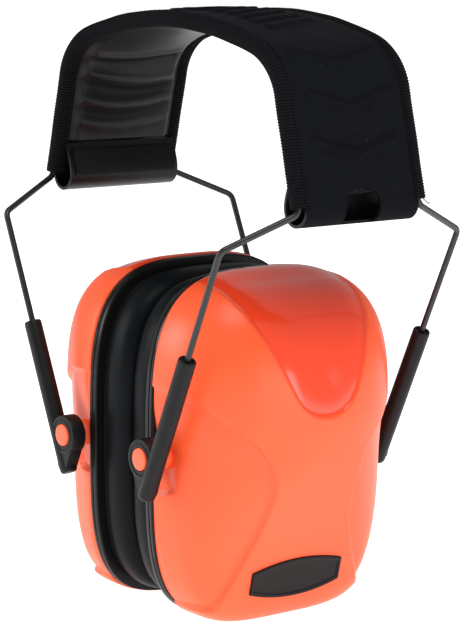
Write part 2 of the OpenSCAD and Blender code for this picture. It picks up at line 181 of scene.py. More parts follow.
def make_shell_plastic():
    f = Finish("shell_plastic", IOR=1.5, Specular_IOR_Level=0.38, Coat_Roughness=0.13)
    tint, dish = f.noise(14, 1), f.mark("dish")
    satin = f.blend(tint, (0.98, 0.100, 0.024), (1.0, 0.112, 0.029))
    f.feed("Base Color", f.blend(dish, satin, (0.93, 0.060, 0.016)))
    grain = f.noise(900, 2)
    f.feed("Roughness", 0.36 + 0.05 * f.noise(60, 2) - dish * 0.18)
    f.feed("Coat Weight", dish * 0.75 + 0.02)
    f.bump(grain * (1 - dish), 0.00002, 0.5)
    return f.material


def make_pin_plastic():
    f = Finish("pin_plastic", IOR=1.5)
    f.feed("Base Color", f.blend(f.noise(200, 2), (0.93, 0.100, 0.026), (1.0, 0.122, 0.034)))
    f.feed("Roughness", 0.38 + 0.06 * f.noise(300, 2))
    f.bump(f.noise(1500, 2), 0.00002, 0.5)
    return f.material


def make_black_plastic(name, shade, rough, grain, coat=0.0):
    f = Finish(name, Base_Color=(shade, shade, shade * 1.04), Specular_IOR_Level=0.17, Coat_Roughness=0.12)
    marks = f.noise(150, 4, 0.6)
    f.feed("Base Color", f.blend(marks, (shade * 0.85,) * 3, (shade * 1.2, shade * 1.2, shade * 1.24)))
    f.feed("Roughness", rough + 0.1 * marks)
    f.feed("Coat Weight", marks * coat)
    f.bump(f.noise(grain, 3, 0.6), 0.00003, 0.6)
    return f.material


def make_cushion_cover():
    f = Finish("cushion_cover", Specular_IOR_Level=0.07)
    pores = f.cells(1400)
    worn = f.noise(45, 4, 0.6)
    f.feed("Base Color", f.blend(worn, (0.0024, 0.0034, 0.0044), (0.0056, 0.0070, 0.0082)))
    f.feed("Roughness", 0.36 + 0.10 * worn)
    f.bump(pores + 1.5 * f.noise(300, 2), 0.00004, 0.5)
    return f.material


def make_cover_cloth():
    f = Finish("cover_cloth", Specular_IOR_Level=0.05, Sheen_Weight=0.01, Sheen_Roughness=0.5)
    weave = f.noise(2600, 2, 0.7)
    mottle = f.noise(120, 4, 0.65)
    lint = f.cells(330).step(0.085, 0.055) * f.noise(70, 1).step(0.54, 0.62)
    cloth = f.blend(mottle, (0.0030, 0.0034, 0.0044), (0.0066, 0.0072, 0.0090))
    f.feed("Base Color", f.blend(lint, cloth, (0.045, 0.047, 0.053)))
    f.feed("Roughness", 0.86 + 0.1 * weave)
    f.bump(weave + 0.6 * f.noise(900, 3, 0.7), 0.00010, 0.8)
    return f.material


def make_binding():
    f = Finish("binding", Specular_IOR_Level=0.06, Sheen_Weight=0.01)
    span = f.mark("span", "Vector")
    thread = (span.part(1) * 7.0).math("SINE") * 0.5 + 0.5
    rib = f.mark("rib")
    # Painted shade: the base colour is darkest in the valleys between the ribs and lightest on their crests.
    f.feed("Base Color", f.blend(rib, (0.0016, 0.0017, 0.0021), (0.0062, 0.0068, 0.0086)))
    f.feed("Roughness", 0.72 + 0.14 * f.noise(700, 2))
    f.bump(thread * 0.5 + f.noise(2200, 2, 0.7), 0.00006, 0.7)
    return f.material


def make_lining():
    f = Finish("lining", Specular_IOR_Level=0.2)
    pores = f.cells(900)
    worn = f.noise(60, 4, 0.6)
    crease = f.mark("crease")
    leather = f.blend(worn, (0.0026, 0.0026, 0.0028), (0.0056, 0.0056, 0.0060))
    # Painted shade: the base colour goes near black along each crease valley.
    f.feed("Base Color", f.blend(crease, leather, (0.0004, 0.0004, 0.0005)))
    f.feed("Roughness", 0.32 + 0.12 * worn + crease * 0.5)
    f.bump(pores * 0.7 + 2.0 * f.noise(160, 3, 0.6), 0.00007, 0.5)
    return f.material


def make_hook_tape():
    f = Finish("hook_tape", Base_Color=(0.004, 0.004, 0.005), Specular_IOR_Level=0.15)
    hooks = f.cells(1500)
    f.feed("Base Color", f.blend(hooks, (0.002, 0.002, 0.0025), (0.008, 0.008, 0.009)))
    f.feed("Roughness", 0.5 + 0.3 * hooks)
    f.bump(hooks, 0.0001, 0.8)
    return f.material


def make_spring_wire():
    f = Finish("spring_wire", Specular_IOR_Level=0.35, Coat_Roughness=0.2)
    wear = f.noise(260, 4, 0.7)
    f.feed("Base Color", f.blend(wear, (0.006, 0.006, 0.007), (0.014, 0.014, 0.015)))
    f.feed("Roughness", 0.30 + 0.2 * wear)
    f.feed("Coat Weight", wear * 0.4)
    f.bump(f.noise(1800, 2), 0.00002, 0.6)
    return f.material


def make_stop_metal():
    f = Finish("stop_metal", Base_Color=(0.35, 0.35, 0.36), Metallic=1.0)
    f.feed("Roughness", 0.28 + 0.15 * f.noise(500, 3))
    return f.material


def make_foam(name, dark, light, scale):
    f = Finish(name, Specular_IOR_Level=0.15)
    holes = f.cells(scale)
    f.feed("Base Color", f.blend(holes.step(0.1, 0.6), dark, light))
    f.feed("Roughness", 0.85 + 0.1 * holes)
    f.bump(holes, 0.0004, 0.9)
    return f.material


def make_thread():
    f = Finish("thread", Specular_IOR_Level=0.1)
    f.feed("Base Color", f.blend(f.noise(900, 2), (0.0022, 0.0024, 0.003), (0.006, 0.0065, 0.008)))
    f.feed("Roughness", 0.6 + 0.2 * f.noise(1200, 2))
    return f.material


LOOKS = {
    "shell_plastic": make_shell_plastic(),
    "pin_plastic": make_pin_plastic(),
    "plate_plastic": make_black_plastic("plate_plastic", 0.005, 0.30, 700, 0.12),
    "arm_plastic": make_black_plastic("arm_plastic", 0.0075, 0.38, 900),
    "badge_plastic": make_black_plastic("badge_plastic", 0.009, 0.5, 1500),
    "cushion_cover": make_cushion_cover(),
    "cover_cloth": make_cover_cloth(),
    "binding": make_binding(),
    "lining": make_lining(),
    "hook_tape": make_hook_tape(),
    "spring_wire": make_spring_wire(),
    "stop_metal": make_stop_metal(),
    "foam": make_foam("foam", (0.05, 0.05, 0.055), (0.11, 0.11, 0.12), 900),
    "pad_foam": make_foam("pad_foam", (0.004, 0.004, 0.005), (0.010, 0.010, 0.011), 900),
    "thread": make_thread(),
}


# ---------- mesh building ----------

class Build:
    """Collects faces for one piece, in millimetres, on the right-hand side of the object."""

    def __init__(self, *looks):
        self.looks = looks
        self.points, self.faces, self.look_of, self.marks = [], [], [], {}

    def count(self):
        return sum(len(p) for p in self.points)

    def add(self, points, faces, look=0, **marks):
        first, points = self.count(), np.asarray(points, float).reshape(-1, 3)
        for name in set(marks) | set(self.marks):
            rows = self.marks.setdefault(name, [])
            width = 3 if name == "span" else 1
            have = sum(len(r) for r in rows)
            if have < first:
                rows.append(np.zeros((first - have, width)))
            if name in marks:
                rows.append(np.asarray(marks[name], float).reshape(len(points), width))
        self.points.append(points)
        self.faces += [tuple(first + i for i in f) for f in faces]
        self.look_of += [look] * len(faces)

    def slab(self, top, bottom, keep=None, look=0, top_look=None, **marks):
        """Closed sheet between two grids of points; keep says which cells it has."""
        nu, nv = top.shape[:2]
        keep = np.ones((nu - 1, nv - 1), bool) if keep is None else keep
        at = np.arange(nu * nv).reshape(nu, nv)
        low = at + nu * nv
        i, j = np.nonzero(keep)
        faces = list(zip(at[i, j], at[i + 1, j], at[i + 1, j + 1], at[i, j + 1]))
        looks = [look if top_look is None else int(top_look[a, b]) for a, b in zip(i, j)]
        faces += list(zip(low[i, j], low[i, j + 1], low[i + 1, j + 1], low[i + 1, j]))
        looks += [look] * len(i)
        framed = np.zeros((nu + 1, nv + 1), bool)
        framed[1:-1, 1:-1] = keep
        for di, dj, a, b in ((-1, 0, (0, 0), (0, 1)), (1, 0, (1, 1), (1, 0)),
                             (0, -1, (1, 0), (0, 0)), (0, 1, (0, 1), (1, 1))):
            r, c = np.nonzero(keep & ~framed[1 + di:nu + di, 1 + dj:nv + dj])
            p, q = (r + a[0], c + a[1]), (r + b[0], c + b[1])
            faces += list(zip(at[q], at[p], low[p], low[q]))
            looks += [look] * len(r)
        used = np.unique(np.array(faces))
        new = np.full(2 * nu * nv, -1)
        new[used] = np.arange(len(used))
        both = np.concatenate([top.reshape(-1, 3), bottom.reshape(-1, 3)])
        marks = {k: np.concatenate([v.reshape(nu * nv, -1)] * 2)[used] for k, v in marks.items()}
        first = len(self.look_of)
        self.add(both[used], [tuple(new[k] for k in f) for f in faces], look, **marks)
        self.look_of[first:] = looks

    def loft(self, rings, look=0, closed=False, **marks):
        """Skin over closed rings of points, capped at both ends unless it closes on itself."""
        n, m = rings.shape[:2]
        faces = []
        for i in range(n if closed else n - 1):
            a, b = i * m, (i + 1) % n * m
            faces += [(a + j, b + j, b + (j + 1) % m, a + (j + 1) % m) for j in range(m)]
        points = rings.reshape(-1, 3)
        if not closed:
            for ring, start, order in ((rings[0], 0, 1), (rings[-1], (n - 1) * m, -1)):
                faces += [(len(points), *(start + j, start + (j + 1) % m)[::order]) for j in range(m)]
                points = np.concatenate([points, ring.mean(0, keepdims=True)])
            marks = {k: np.concatenate([v.reshape(n * m, -1), v.reshape(n * m, -1)[[0, -1]]])
                     for k, v in marks.items()}
        else:
            marks = {k: v.reshape(n * m, -1) for k, v in marks.items()}
        self.add(points, faces, look, **marks)

    def make(self, name, side=1, sharp=32):
        """The finished piece, mirrored for the left side."""
        points = np.concatenate(self.points) * MM
        faces = self.faces
        if side < 0:
            points = points * (-1, 1, 1)
            faces = [f[::-1] for f in faces]
        mesh = bpy.data.meshes.new(name)
        mesh.from_pydata(points.tolist(), [], faces)
        for look in self.looks:
            mesh.materials.append(LOOKS[look])
        mesh.polygons.foreach_set("material_index", self.look_of)
        mesh.polygons.foreach_set("use_smooth", [True] * len(faces))
        for key, rows in self.marks.items():
            value = np.concatenate(rows)
            value = np.concatenate([value, np.zeros((len(points) - len(value), value.shape[1]))])
            kind, field = ("FLOAT_VECTOR", "vector") if key == "span" else ("FLOAT", "value")
            stored = mesh.attributes.new(key, kind, "POINT")
            stored.data.foreach_set(field, value.astype(np.float32).ravel())
        mesh.set_sharp_from_angle(angle=math.radians(sharp))
        made = bpy.data.objects.new(name, mesh)
        bpy.context.scene.collection.objects.link(made)
        return made


def unit(v):
    return v / np.linalg.norm(v, axis=-1, keepdims=True)


def lathe(profile, count, centre, axis, across):
    """Rings for a turned solid: profile holds (distance along axis, radius)."""
    centre, axis, across = (np.asarray(v, float) for v in (centre, axis, across))
    third = np.cross(axis, across)
    w = 2 * np.pi * np.arange(count) / count
    spoke = np.cos(w)[:, None] * across + np.sin(w)[:, None] * third
    return np.stack([centre + h * axis + r * spoke for h, r in profile])


def tube_rings(path, radius, count, first_across):
    """Rings along a path, turned as little as possible on the way."""
    along = unit(np.gradient(path, axis=0))
    across = np.asarray(first_across, float)
    w = 2 * np.pi * np.arange(count) / count
    rings = []
    for p, d in zip(path, along):
        across = unit(across - (across @ d) * d)
        rings.append(p + radius * (np.cos(w)[:, None] * across + np.sin(w)[:, None] * np.cross(d, across)))
    return np.stack(rings)


def fillet_path(corners, radii, step):
    """Points along straight lines whose inner corners are rounded."""
    corners = [np.asarray(c, float) for c in corners]
    points = [corners[0]]
    for a, p, b, r in zip(corners, corners[1:], corners[2:], radii):
        d, e = unit(p - a), unit(b - p)
        turn = math.acos(float(np.clip(d @ e, -1, 1)))
        back = r * math.tan(turn / 2)
        n = unit(e - (d @ e) * d)
        middle = p - back * d + r * n
        count = max(6, round(math.degrees(turn) / 5))
        points += [middle - r * math.cos(v) * n + r * math.sin(v) * d
                   for v in np.linspace(0, turn, count)]
    points.append(corners[-1])
    out = [points[0]]
    for p, q in zip(points, points[1:]):
        count = max(1, round(np.linalg.norm(q - p) / step))
        out += [p + (q - p) * k / count for k in range(1, count + 1)]
    return np.stack(out)


def distance_to(y, z, line):
    """Distance of each point to a line of (y, z) points."""
    best = np.full(np.shape(y), 1e9)
    for (y0, z0), (y1, z1) in zip(line, line[1:]):
        dy, dz = y1 - y0, z1 - z0
        t = np.clip(((y - y0) * dy + (z - z0) * dz) / (dy * dy + dz * dz), 0, 1)
        best = np.minimum(best, np.hypot(y - y0 - t * dy, z - z0 - t * dz))
    return best


# ---------- headband ----------

# Centre line of the band: a flat crown, a tight corner and a straight leg on each side
CROWN_R, CORNER_R, ARCH_Z = 145.0, 18.5, 179.55
CROWN_A, CORNER_A = math.radians(17), math.radians(76)
CORNER_X = (CROWN_R - CORNER_R) * math.sin(CROWN_A)
CORNER_Z = ARCH_Z - CROWN_R + (CROWN_R - CORNER_R) * math.cos(CROWN_A)
CROWN_END = CROWN_R * CROWN_A
CORNER_END = CROWN_END + CORNER_R * (CORNER_A - CROWN_A)
LEG_END = CORNER_END + 32
# Rolled end of the outer cloth: radius, half width, notch and flap
FOLD_R, FOLD_HALF, NOTCH_R, FLAP = 5.2, 20.8, 6.4, 11.9
NOTCH_HIGH, NOTCH_STRAIGHT, CLOTH_THICK = 4.0, 0.4, 0.9
# Half widths of the cloth and the whole band, and where the binding's edge lies
CLOTH_HALF, BAND_HALF, WRAP = 22.1, 24.6, 19.6
# Directions of the leg's own frame, outwards and up, as X and Z
OUT = np.array([math.sin(CORNER_A), math.cos(CORNER_A)])
UP = np.array([-OUT[1], OUT[0]])


def arch(s, t):
    """X and Z at arc length s from the crown's middle, t outside the centre line."""
    s = np.asarray(s, float)
    a = np.where(s < CROWN_END, s / CROWN_R,
                 np.where(s < CORNER_END, CROWN_A + (s - CROWN_END) / CORNER_R, CORNER_A))
    leg = np.maximum(s - CORNER_END, 0)
    x = np.where(s < CROWN_END, (CROWN_R + t) * np.sin(a), CORNER_X + (CORNER_R + t) * np.sin(a))
    z = np.where(s < CROWN_END, ARCH_Z - CROWN_R + (CROWN_R + t) * np.cos(a),
                 CORNER_Z + (CORNER_R + t) * np.cos(a))
    return x + leg * math.cos(CORNER_A), z - leg * math.sin(CORNER_A)


def leg_point(t, h):
    """X and Z from distances outwards and up, measured from the leg's end."""
    x0, z0 = arch(LEG_END, 0)
    return x0 + t * OUT[0] + h * UP[0], z0 + t * OUT[1] + h * UP[1]


def on_arch(s, y, t):
    x, z = arch(s, t)
    return np.stack(np.broadcast_arrays(x, y, z), -1)


def spaced(*stops):
    """Numbers through the stops, given as (value, spacing up to the next)."""
    out = [stops[0][0]]
    for (a, step), (b, _) in zip(stops, stops[1:]):
        count = max(1, round(abs(b - a) / step))
        out += [a + (b - a) * k / count for k in range(1, count + 1)]
    return np.array(out)


def cloth_relief(s, y):
    """Embossing on the outer cloth: chevrons down the leg and slanted bars on the crown."""
    rise = np.zeros(np.broadcast(s, y).shape)
    for tip in (53.6, 65.8, 79.4):
        line = tip - 4.6 * np.abs(y) / 16.2
        off = (s - line) / math.hypot(1, 4.6 / 16.2)
        ends = smooth((16.6 - np.abs(y)) / 1.0)
        rise += ends * (1.1 * np.exp(-((off - 1.1) / 0.6) ** 2) - 0.45 * np.exp(-((off + 0.5) / 0.6) ** 2))
    for k in range(5):
        middle = 3.5 + 6.4 * k
        off = s - middle + 0.35 * y
        bar = smooth((1.9 - np.abs(off)) / 0.9) * smooth((11.5 - np.abs(y)) / 1.0)
        rise += 1.15 * bar
    pad = smooth((17.4 - np.abs(y)) / 2.5)
    return rise + 0.16 * pad * np.cos(0.21 * y) ** 2


def fold_centre(u):
    """Middle of the cloth in the leg's own frame, after it leaves the leg's end."""
    turn_r, mid_x = FOLD_R - CLOTH_THICK / 2, 2.0 - FOLD_R
    a = np.clip(u / turn_r, 0, np.pi)
    k = np.clip((u - np.pi * turn_r) / FLAP, 0, 1)[..., None]
    corners = [np.array(c) for c in ((mid_x - turn_r, 0), (mid_x - turn_r, 3.4), (-4.8, 6.6), (-2.75, 10.0))]
    flap = ((1 - k) ** 3 * corners[0] + 3 * k * (1 - k) ** 2 * corners[1]
            + 3 * k * k * (1 - k) * corners[2] + k ** 3 * corners[3])
    bend = np.stack([mid_x + turn_r * np.cos(a), -turn_r * np.sin(a)], -1)
    return np.where((u < np.pi * turn_r)[..., None], bend, flap)


def make_cover_outer(side):
    """Outer cloth of one half, with the rolled end and its notch."""
    fold_all = np.pi * (FOLD_R - CLOTH_THICK / 2)
    fold_half_way = fold_all / 2
    y = spaced((-CLOTH_HALF, 0.8), (-FOLD_HALF, 0.6), (-NOTCH_R, 0.4), (NOTCH_R, 0.6), (FOLD_HALF, 0.8),
               (CLOTH_HALF, 1))
    arch_rows = spaced((0, 0.55), (LEG_END - 14, 1))
    above = NOTCH_HIGH * np.sqrt(np.maximum(1 - (y / NOTCH_R) ** 2, 0)) + NOTCH_STRAIGHT
    share = np.linspace(0, 1, 21)[1:, None]
    notch_rows = (LEG_END - 14) + (14 - above) * share
    leg_rows = spaced((LEG_END - NOTCH_STRAIGHT, 0.65), (LEG_END, 1))[1:]
    fold_rows = spaced((0, 0.5), (fold_half_way, 0.5), (fold_all, 0.6), (fold_all + FLAP, 1))[1:]
    s = np.concatenate([np.broadcast_to(arch_rows[:, None], (len(arch_rows), len(y))), notch_rows,
                        np.broadcast_to(leg_rows[:, None], (len(leg_rows), len(y)))])
    grids = []
    fold = fold_centre(fold_rows)
    normal = unit(np.gradient(fold, axis=0))
    normal = np.stack([-normal[:, 1], normal[:, 0]], -1)
    for off in (CLOTH_THICK / 2, -CLOTH_THICK / 2):
        rise = cloth_relief(s, y[None]) if off > 0 else 0
        grid = on_arch(s, y[None], 1.55 + off + rise)
        t, h = (fold + off * normal).T
        x, z = leg_point(t, h)
        tail = np.stack(np.broadcast_arrays(x[:, None], y[None], z[:, None]), -1)
        grids.append(np.concatenate([grid, tail]))
    keep = np.ones((len(grids[0]) - 1, len(y) - 1), bool)
    mid_y = np.abs((y[1:] + y[:-1]) / 2)
    first_notch = len(arch_rows) + 20 - 1
    last_leg = len(s) - 1
    half_way = last_leg + int(np.searchsorted(fold_rows, fold_half_way + 1e-6))
    keep[last_leg:, mid_y > FOLD_HALF] = False
    keep[first_notch:half_way, mid_y < NOTCH_R] = False
    looks = np.zeros(keep.shape, int)
    looks[half_way:] = 1
    b = Build("cover_cloth", "lining")
    b.slab(grids[0], grids[1], keep, look=1, top_look=looks)
    return b.make(f"{side}_cover_outer", SIDES[side], 50)


# Creases of the lining: place along the band, depth and width
CREASES = ((53.0, 1.8, 1.5), (63.4, 1.9, 1.7), (71.3, 1.6, 1.4), (78.2, 0.8, 1.8))


def make_lining_half(side):
    """Lining of one half, which creases across where the band turns, with painted shade marked along the
    crease valleys.
    """
    y = spaced((-CLOTH_HALF, 1.6), (-WRAP, 0.8), (WRAP, 1.6), (CLOTH_HALF, 1))
    s = spaced((0, 1.2), (CROWN_END - 6, 0.4), (LEG_END - 9, 1.5), (LEG_END - 3, 1))[:, None]
    edge = smooth((WRAP - np.abs(y[None])) / 3.0)
    across = y[None] / WRAP
    puff = 0.5 + 1.4 * smooth((s - 34) / 14) - 0.3 * across ** 2
    crease = 0 * puff
    for valley, deep, wide in CREASES:
        off = s - valley - 2.3 * (1 - across ** 2) - 0.8 * np.sin(1.9 * across + valley)
        share = deep * (0.75 - 0.35 * across * np.sin(valley)) * smooth((1.05 - np.abs(across)) / 0.35)
        dip = share * np.where(off < 0, np.exp(-(off / wide) ** 2), np.exp(-(off / (2.1 * wide)) ** 2))
        # The crease mark collects where painted shade darkens the lining along each valley.
        puff, crease = puff - dip, crease + dip * np.exp(-(off / 1.4) ** 2)
        puff = puff + 0.35 * share * np.exp(-((off + 3.1) / 1.7) ** 2)
    puff = edge * np.maximum(puff, 0.02) * smooth((LEG_END - 9.9 - s) / 1.3)
    b = Build("lining")
    b.slab(on_arch(s, y[None], -1.12), on_arch(s, y[None], -2.0 - puff),
           crease=np.clip(crease / 1.4, 0, 1))
    return b.make(f"{side}_cover_lining", SIDES[side])


def binding_section(end):
    """Closed outline of the binding's cross section as (y, t), with the thread line's dip."""
    arc = np.linspace(np.pi / 2, -np.pi / 2, 17)
    face = [(WRAP, 2.02), (WRAP + 0.15, 2.34), (WRAP + 0.5, 2.5), (WRAP + 1.0, 2.32), (WRAP + 1.5, 2.32),
            (WRAP + 1.9, 2.54), (WRAP + 2.4, 2.56)]
    outer = face + [(BAND_HALF - 2.5 + 2.5 * math.cos(a), 2.5 * math.sin(a)) for a in arc]
    outer += [(yy, -tt) for yy, tt in reversed(face)]
    inner = [(WRAP + 0.02, -2.0), (WRAP + 2.2, -2.0)]
    inner += [(BAND_HALF - 2.5 + 2.0 * math.cos(a), 2.0 * math.sin(a)) for a in arc[::-4]]
    inner += [(WRAP + 2.2, 2.0), (WRAP + 0.02, 2.0)]
    loop = np.array(outer + inner)
    return loop * (end, 1), len(outer)


RIB_PITCH, STEPS_PER_RIB, RIB_DEEP = 0.86, 5, 0.24
STITCH_PITCH, STITCH_HALF, STITCH_R = 2.4, 0.85, 0.21


def make_binding_half(side, end):
    """Ribbed edge binding of one half, sewn through with a running stitch."""
    loop, shown = binding_section(ENDS[end])
    s = np.linspace(0, LEG_END - 0.05, round(LEG_END / RIB_PITCH) * STEPS_PER_RIB + 1)
    wave = 0.5 - 0.5 * np.cos(2 * np.pi * s / RIB_PITCH)
    centre = np.array([ENDS[end] * (BAND_HALF - 2.5), 0])
    away = unit(loop - centre)
    flat = np.abs(loop[:, 0]) < BAND_HALF - 2.5
    away[flat] = np.stack([np.zeros(flat.sum()), np.sign(loop[flat, 1])], -1)
    ribbed = np.zeros(len(loop))
    ribbed[2:shown - 2] = RIB_DEEP
    yt = loop[None] + away[None] * (ribbed[None] * (wave[:, None] - 1))[..., None]
    settle = 0.06 * np.sin(0.35 * s)[:, None]
    rings = on_arch(s[:, None], yt[..., 0], yt[..., 1] + settle * (ribbed > 0))
    across = np.abs(loop[None, :, 0]) + loop[None, :, 1]
    span = np.stack(np.broadcast_arrays(s[:, None], across, 0 * s[:, None]), -1)
    # The rib mark is 0 in each valley and 1 on each crest; the binding's colour uses it for painted shade
    # between the ribs, and 0.35 where there are no ribs.
    rib = np.broadcast_to(wave[:, None] * (ribbed > 0) + 0.35 * (ribbed == 0), rings.shape[:2])
    b = Build("binding", "thread")
    if ENDS[end] > 0:
        rings, span, rib = rings[:, ::-1], span[:, ::-1], rib[:, ::-1]
    b.loft(rings, span=span, rib=rib)
    for face in (1, -1):
        for middle in np.arange(STITCH_PITCH / 2, LEG_END - 1, STITCH_PITCH):
            t = face * 2.44
            path = np.stack([on_arch(middle + d, ENDS[end] * (WRAP + 1.25),
                                     t - face * 0.22 * abs(d / STITCH_HALF) ** 2.5)
                             for d in np.linspace(-STITCH_HALF, STITCH_HALF, 7)])
            b.loft(tube_rings(path, STITCH_R, 6, (0, 1, 0)), look=1)
    return b.make(f"{side}_{end}_binding", SIDES[side], 40)


def make_foam_half(side):
    """Flat foam between the two cloths of one half."""
    y = spaced((-20.6, 3), (20.6, 1))
    s = spaced((0, 1.5), (LEG_END - 3.2, 1))[:, None]
    b = Build("pad_foam")
    b.slab(on_arch(s, y[None], 1.04), on_arch(s, y[None], -1.04))
    return b.make(f"{side}_foam_pad", SIDES[side])


def make_tape(side):
    """Hook tape on the flap, with fine ribs up and down."""
    y = spaced((-19.2, 0.3), (19.2, 1))
    run = spaced((0.9, 0.3), (1.5, 0.8), (9.3, 0.3), (9.9, 1))
    middle = fold_centre(run + np.pi * (FOLD_R - CLOTH_THICK / 2))
    normal = unit(np.gradient(middle, axis=0))
    normal = np.stack([-normal[:, 1], normal[:, 0]], -1)
    edge = smooth(np.minimum(run - 0.9, 9.9 - run) / 0.5)
    rib = 0.2 * (0.5 + 0.5 * np.cos(2 * np.pi * y / 1.2))
    grids = []
    for base, add in ((0.47, 0), (0.75, 1)):
        off = base + add * (0.2 + rib[None]) * edge[:, None] + 0 * y[None]
        x, z = leg_point(*(middle[:, None, k] + off * normal[:, None, k] for k in (0, 1)))
        grids.append(np.stack(np.broadcast_arrays(x, y[None], z), -1))
    b = Build("hook_tape")
    b.slab(grids[1], grids[0])
    return b.make(f"{side}_hook_tape", SIDES[side])


def make_loose_thread():
    """Thread end that hangs from the binding's lower corner."""
    b = Build("thread")
    start = on_arch(LEG_END - 0.4, 22.6, 1.2)
    turn = np.linspace(0, 1, 24)[:, None]
    path = start + turn * (0.4, 1.7, -3.4) + np.sin(3.4 * turn) * (0.3, 0.6, 0) + turn ** 3 * (0, 1.6, 1.5)
    b.loft(tube_rings(path, 0.16, 8, (1, 0, 0)))
    return b.make("right_loose_thread")


# Where the wires run in the band and in the arms, and how the arms lean
WIRE_Y, ARM_Y = 22.1, 44.4
TILT = math.radians(24.8)
PIVOT = np.array([20.6, 0, 52.85])
TILT_U = np.array([math.sin(TILT), 0, math.cos(TILT)])
TILT_N = np.array([math.cos(TILT), 0, -math.sin(TILT)])
ARM_FOOT = PIVOT + 4.9 * TILT_N
WIRE_TIP, WIRE_BEND = 28.05, 73.7


def make_wire_half(side, end):
    """Half of one spring wire, from the crown's middle to its tip in the arm."""
    sign = ENDS[end]
    tip, bend = (ARM_FOOT + d * TILT_U + (0, sign * ARM_Y, 0) for d in (WIRE_TIP, WIRE_BEND))
    x, z = leg_point(0, -1.5)
    exit_point = np.array([float(x), sign * WIRE_Y, float(z)])
    start = on_arch(LEG_END - 8, sign * WIRE_Y, 0)
    lower = fillet_path([tip, bend, exit_point, start], [3, 3], 1.6)
    upper = on_arch(np.arange(LEG_END - 8.8, 0, -0.9), sign * WIRE_Y, 0)
    path = np.concatenate([lower, upper, [on_arch(0.0, sign * WIRE_Y, 0)]])
    b = Build("spring_wire")
    b.loft(tube_rings(path, 0.95, 20, (0, 1, 0)))
    return b.make(f"{side}_{end}_wire", SIDES[side])


def make_headband():
    """All the headband's pieces, built in place, with the hook tapes and the loose thread hung on the wire
    ends.
    """
    for side, sign in SIDES.items():
        made = [
            (make_cover_outer(side), "cover_outer", "cover_cloth"),
            (make_lining_half(side), "cover_lining", "lining"),
            (make_foam_half(side), "foam_pad", "foam"),
        ]
        for end in ENDS:
            made.append((make_binding_half(side, end), f"binding_{end}", "binding"))
            made.append((make_wire_half(side, end), f"wire_{end}", "spring_wire"))
        for piece, node, slot in made:
            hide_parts(node)
            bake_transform(piece)
        tape = make_tape(side)
        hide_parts(f"hook_tape_{side}")
        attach(tape, f"{side}_wire_ends")
    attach(make_loose_thread(), "right_wire_ends")


make_headband()


# ---------- cups ----------

CUP_MID, CUP_TOP, CUP_FOOT, CUP_HALF = 56.0, 105.7, -0.4, 40.0
RIM_X = 16.5
AROUND = 400
# Powers of the curves: the outline above and below, and the skin at the sides, top and foot
OUTLINE_TOP, OUTLINE_FOOT = 3.3, 4.0
SKIN_SIDE, SKIN_TOP, SKIN_FOOT = 2.3, 2.7, 6.0


def outline_angles(count):
    """Directions that divide the cup's outline into equal lengths."""
    a = np.linspace(0, 2 * np.pi, 200001)
    y, z = outline(a, 0)
    run = np.concatenate([[0], np.cumsum(np.hypot(np.diff(y), np.diff(z)))])
    return np.interp((np.arange(count) + 0.5) / count * run[-1], run, a)


def outline(a, inset):
    """Y and Z of the cup's rounded outline in the directions a."""
    n = np.where(np.sin(a) > 0, OUTLINE_TOP, OUTLINE_FOOT)
    reach = np.where(np.sin(a) > 0, CUP_TOP - CUP_MID, CUP_MID - CUP_FOOT)
    cos, sin = np.cos(a), np.sin(a)
    return ((CUP_HALF - inset) * np.sign(cos) * np.abs(cos) ** (2 / n),
            CUP_MID + (reach - inset) * np.sign(sin) * np.abs(sin) ** (2 / n))


ANGLES = outline_angles(AROUND)


def bulge_at(z):
    """How far the shell stands out from its rim at a height."""
    return 19.5 + 15.0 * smooth((z / CUP_TOP - 0.08) / 0.54)


def skin_power(upright, above):
    return SKIN_SIDE * (1 - upright) + np.where(above, SKIN_TOP, SKIN_FOOT) * upright


def shell_grid(rho, inset):
    """Points of the shell's skin for shares rho of the way out from the middle."""
    a, rho = ANGLES[None], np.asarray(rho)[:, None]
    y, z = outline(a, inset)
    above = np.sin(a) > 0
    m = skin_power(np.abs(np.sin(a)) ** (4 / np.where(above, OUTLINE_TOP, OUTLINE_FOOT)), above)
    z = CUP_MID + rho * (z - CUP_MID)
    x = RIM_X + (bulge_at(z) - inset) * np.maximum(1 - rho ** m, 0) ** (1 / m)
    return np.stack([x, rho * y, np.maximum(z, 0)], -1)


def skin_x(y, z):
    """X of the plain skin in front of a point."""
    above = z > CUP_MID
    n = np.where(above, OUTLINE_TOP, OUTLINE_FOOT)
    high = np.abs(z - CUP_MID) / np.where(above, CUP_TOP - CUP_MID, CUP_MID - CUP_FOOT)
    rho = np.clip((np.abs(y / CUP_HALF) ** n + high ** n) ** (1 / n), 1e-6, 1)
    m = skin_power(np.clip(high / rho, 0, 1) ** 2, above)
    return RIM_X + bulge_at(z) * (1 - rho ** m) ** (1 / m)


# Half width of the glossy dish against height, from above the crown to its rounded foot
TONGUE = [(23.6, 150), (23.5, 101.7), (23.1, 99.4), (22.2, 96.9), (21.4, 93.8), (20.1, 90.5), (18.6, 87.1),
          (17.0, 83.5), (15.3, 79.8), (13.6, 76.0), (11.6, 71.9), (8.9, 68.2), (5.8, 66.1), (2.7, 65.1),
          (-1, 64.9)]
# Edge of the raised middle panel: distance round the skin from its centre line, against height
SHOULDER = [(77, 73.4), (73.4, 73.0), (67.7, 72.4), (58.3, 71.4), (48.7, 68.4), (37.4, 64.0), (26.1, 57.4),
            (19.8, 51.7), (16.1, 45.4), (15.5, 40.8), (16.1, 34.6), (17.7, 28.6), (20.1, 22.8),
            (23.1, 17.0), (27.0, 11.4), (32.1, 5.9), (38, 1)]
# Outer edge, in X against height, of the hollow behind each arm, and its foot and the panel's top
POCKET = [(31, 73), (29.6, 62), (28.2, 51.3), (27.0, 46.7), (26.2, 41)]
POCKET_FOOT, SHOULDER_TOP = 41.0, 73.2


def across_at(z, line):
    """First number of a falling line of (number, height) points, at the heights z."""
    return np.interp(z, [high for _, high in line[::-1]], [wide for wide, _ in line[::-1]])


